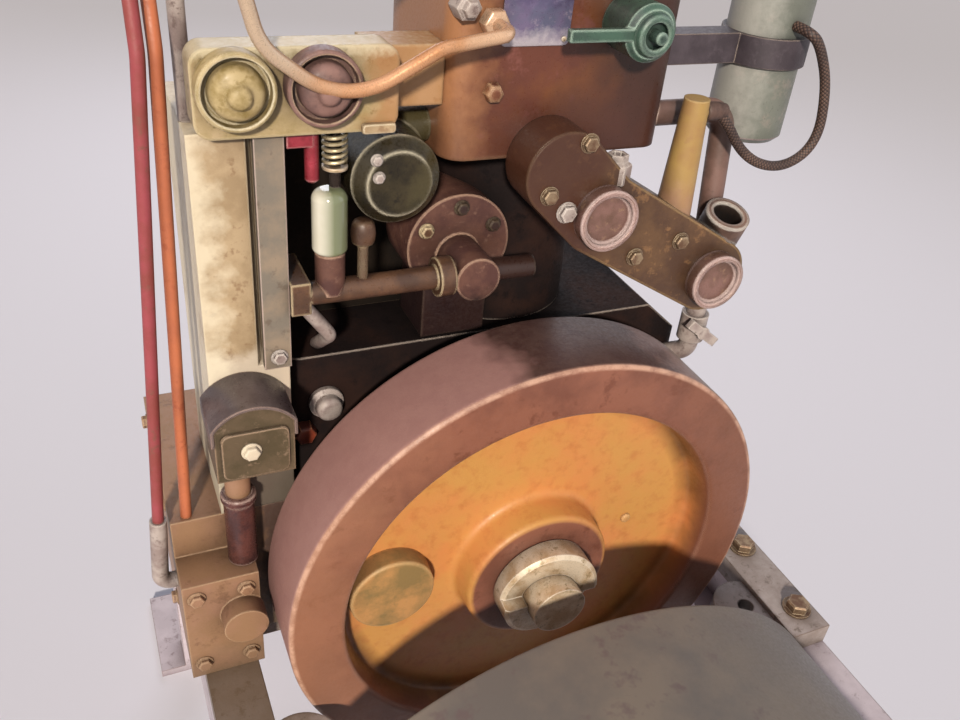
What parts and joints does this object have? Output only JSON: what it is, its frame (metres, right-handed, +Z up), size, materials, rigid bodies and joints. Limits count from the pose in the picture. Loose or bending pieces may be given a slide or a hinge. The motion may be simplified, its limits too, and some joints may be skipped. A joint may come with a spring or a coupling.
{
  "type": "stationary gas engine",
  "caption": "Vertical water-cooled stationary gas engine with a heavy front flywheel, side column, valve gear, coil ignition and a round-topped tank on a steel frame.",
  "frame": {"origin": "on the ground, under the middle of the steel frame", "axes": "+Z up, +Y back along the crankshaft away from the flywheel side, +X to the right seen from the flywheel side"},
  "size_m": [0.716, 1.05, 1.268],
  "materials": {
    "bare_iron": "bare brown iron",
    "bed_paint": "worn grey-brown paint over cast iron",
    "bracket_paint": "olive-yellow paint over cast iron",
    "case_paint": "worn tan paint over cast iron",
    "coil_paint": "grey-green paint on sheet steel",
    "column_paint": "mottled cream paint over cast iron",
    "copper": "dull copper tube",
    "crankcase_iron": "oily dark brown cast iron",
    "exhaust_iron": "rusty cast iron",
    "flywheel_paint": "worn red-brown paint over cast iron, orange web",
    "frame_paint": "worn pale grey paint over steel channel",
    "jacket_paint": "worn brown paint over cast iron",
    "lead_cover": "brown braided and waxed cover",
    "magneto_paint": "olive-tan paint over cast metal",
    "manifold_paint": "worn brown paint over cast iron",
    "mixer_iron": "dark oily casting",
    "oiler_glass": "clear glass with oil",
    "orange_paint": "worn orange paint",
    "pale_iron": "pale worn paint on pipe and link",
    "plug_paint": "pinkish-grey worn caps",
    "red_paint": "worn red paint",
    "shaft_steel": "turned steel with old yellowish oil",
    "spring_steel": "plain spring steel",
    "strip_steel": "grey sheet steel",
    "tank_paint": "smooth grey paint, rubbed",
    "tube_paint": "yellow-tan paint",
    "valve_paint": "green paint"
  },
  "bodies": {
    "engine": {"bedplate": "bed_paint", "coil_band": "strip_steel", "control_shaft": "bare_iron", "copper_pipe": "copper", "cover_nuts": "shaft_steel", "cover_strip": "strip_steel", "crankcase": "crankcase_iron", "crankcase_door": "case_paint", "cylinder": "crankcase_iron", "cylinder_head": "jacket_paint", "drain_cock": "pale_iron", "drain_pipe": "pale_iron", "exhaust_elbow": "exhaust_iron", "front_bearing": "crankcase_iron", "front_cross_bar": "frame_paint", "front_left_leg": "frame_paint", "front_right_leg": "frame_paint", "front_tank": "tank_paint", "gas_valve": "valve_paint", "gear_case": "case_paint", "glass_base": "bare_iron", "governor_housing": "bare_iron", "governor_link": "pale_iron", "ignition_coil": "coil_paint", "ignition_lead": "lead_cover", "left_rail": "frame_paint", "magneto": "magneto_paint", "manifold_plugs": "plug_paint", "middle_cross_bar": "frame_paint", "mixer": "mixer_iron", "orange_pipe": "orange_paint", "outlet_socket": "bare_iron", "pale_pipe": "pale_iron", "pipe_union": "pale_iron", "plug_tube": "tube_paint", "rear_bearing": "crankcase_iron", "rear_cross_bar": "frame_paint", "rear_left_leg": "frame_paint", "rear_right_leg": "frame_paint", "red_pipe": "red_paint", "red_rod": "red_paint", "return_pipe": "manifold_paint", "right_rail": "frame_paint", "rocker_bracket": "bracket_paint", "rocker_cover": "jacket_paint", "rocker_pivots": "bracket_paint", "side_column": "column_paint", "sight_glass": "oiler_glass", "tank_filler": "shaft_steel", "valve_spring": "spring_steel", "water_jacket": "jacket_paint", "water_manifold": "manifold_paint"},
    "crank": {"crankshaft": "shaft_steel", "flywheel": "flywheel_paint", "starting_dog": "shaft_steel"}
  },
  "joints": [
    {"name": "crank_turn", "type": "hinge", "parent": "engine", "child": "crank", "pos_m": [0, 0, 0.53], "axis": [0, 1, 0], "continuous": true}
  ]
}
